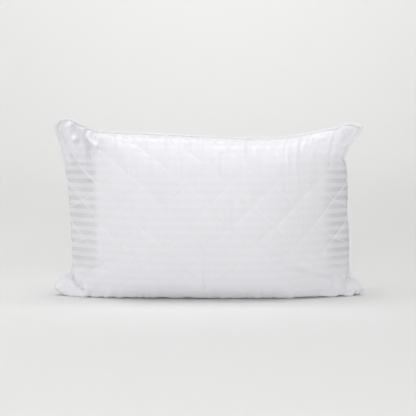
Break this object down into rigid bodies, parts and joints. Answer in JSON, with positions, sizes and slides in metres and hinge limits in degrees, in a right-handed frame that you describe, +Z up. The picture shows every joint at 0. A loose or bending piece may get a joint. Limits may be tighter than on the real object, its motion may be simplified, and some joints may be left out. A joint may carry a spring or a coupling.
{
  "type": "bed pillow",
  "caption": "Bed pillow with a diamond-quilted satin-stripe cover, a piped edge and a soft fibre filling, standing on one long edge.",
  "frame": {"origin": "on the ground, below the middle of the pillow's box", "axes": "+X along the pillow's length, +Y from the front face to the back face, +Z up towards the top seam"},
  "size_m": [0.7184, 0.195, 0.4102],
  "materials": {
    "satin_stripe_cover": "satin",
    "piping_fabric": "satin",
    "wadding": "matte",
    "lining": "matte",
    "fibre_fill": "matte",
    "piping_cord": "matte",
    "quilting_thread": "satin",
    "seam_thread": "satin",
    "care_label": "satin"
  },
  "bodies": {
    "root": {"front_cover": "satin_stripe_cover", "back_cover": "satin_stripe_cover", "front_wadding": "wadding", "back_wadding": "wadding", "front_lining": "lining", "back_lining": "lining", "fibre_fill": "fibre_fill", "piping_sleeve": "piping_fabric", "piping_cord": "piping_cord", "front_quilting_thread": "quilting_thread", "back_quilting_thread": "quilting_thread", "perimeter_stitching": "seam_thread", "closing_stitch": "seam_thread", "care_label": "care_label"}
  },
  "joints": []
}
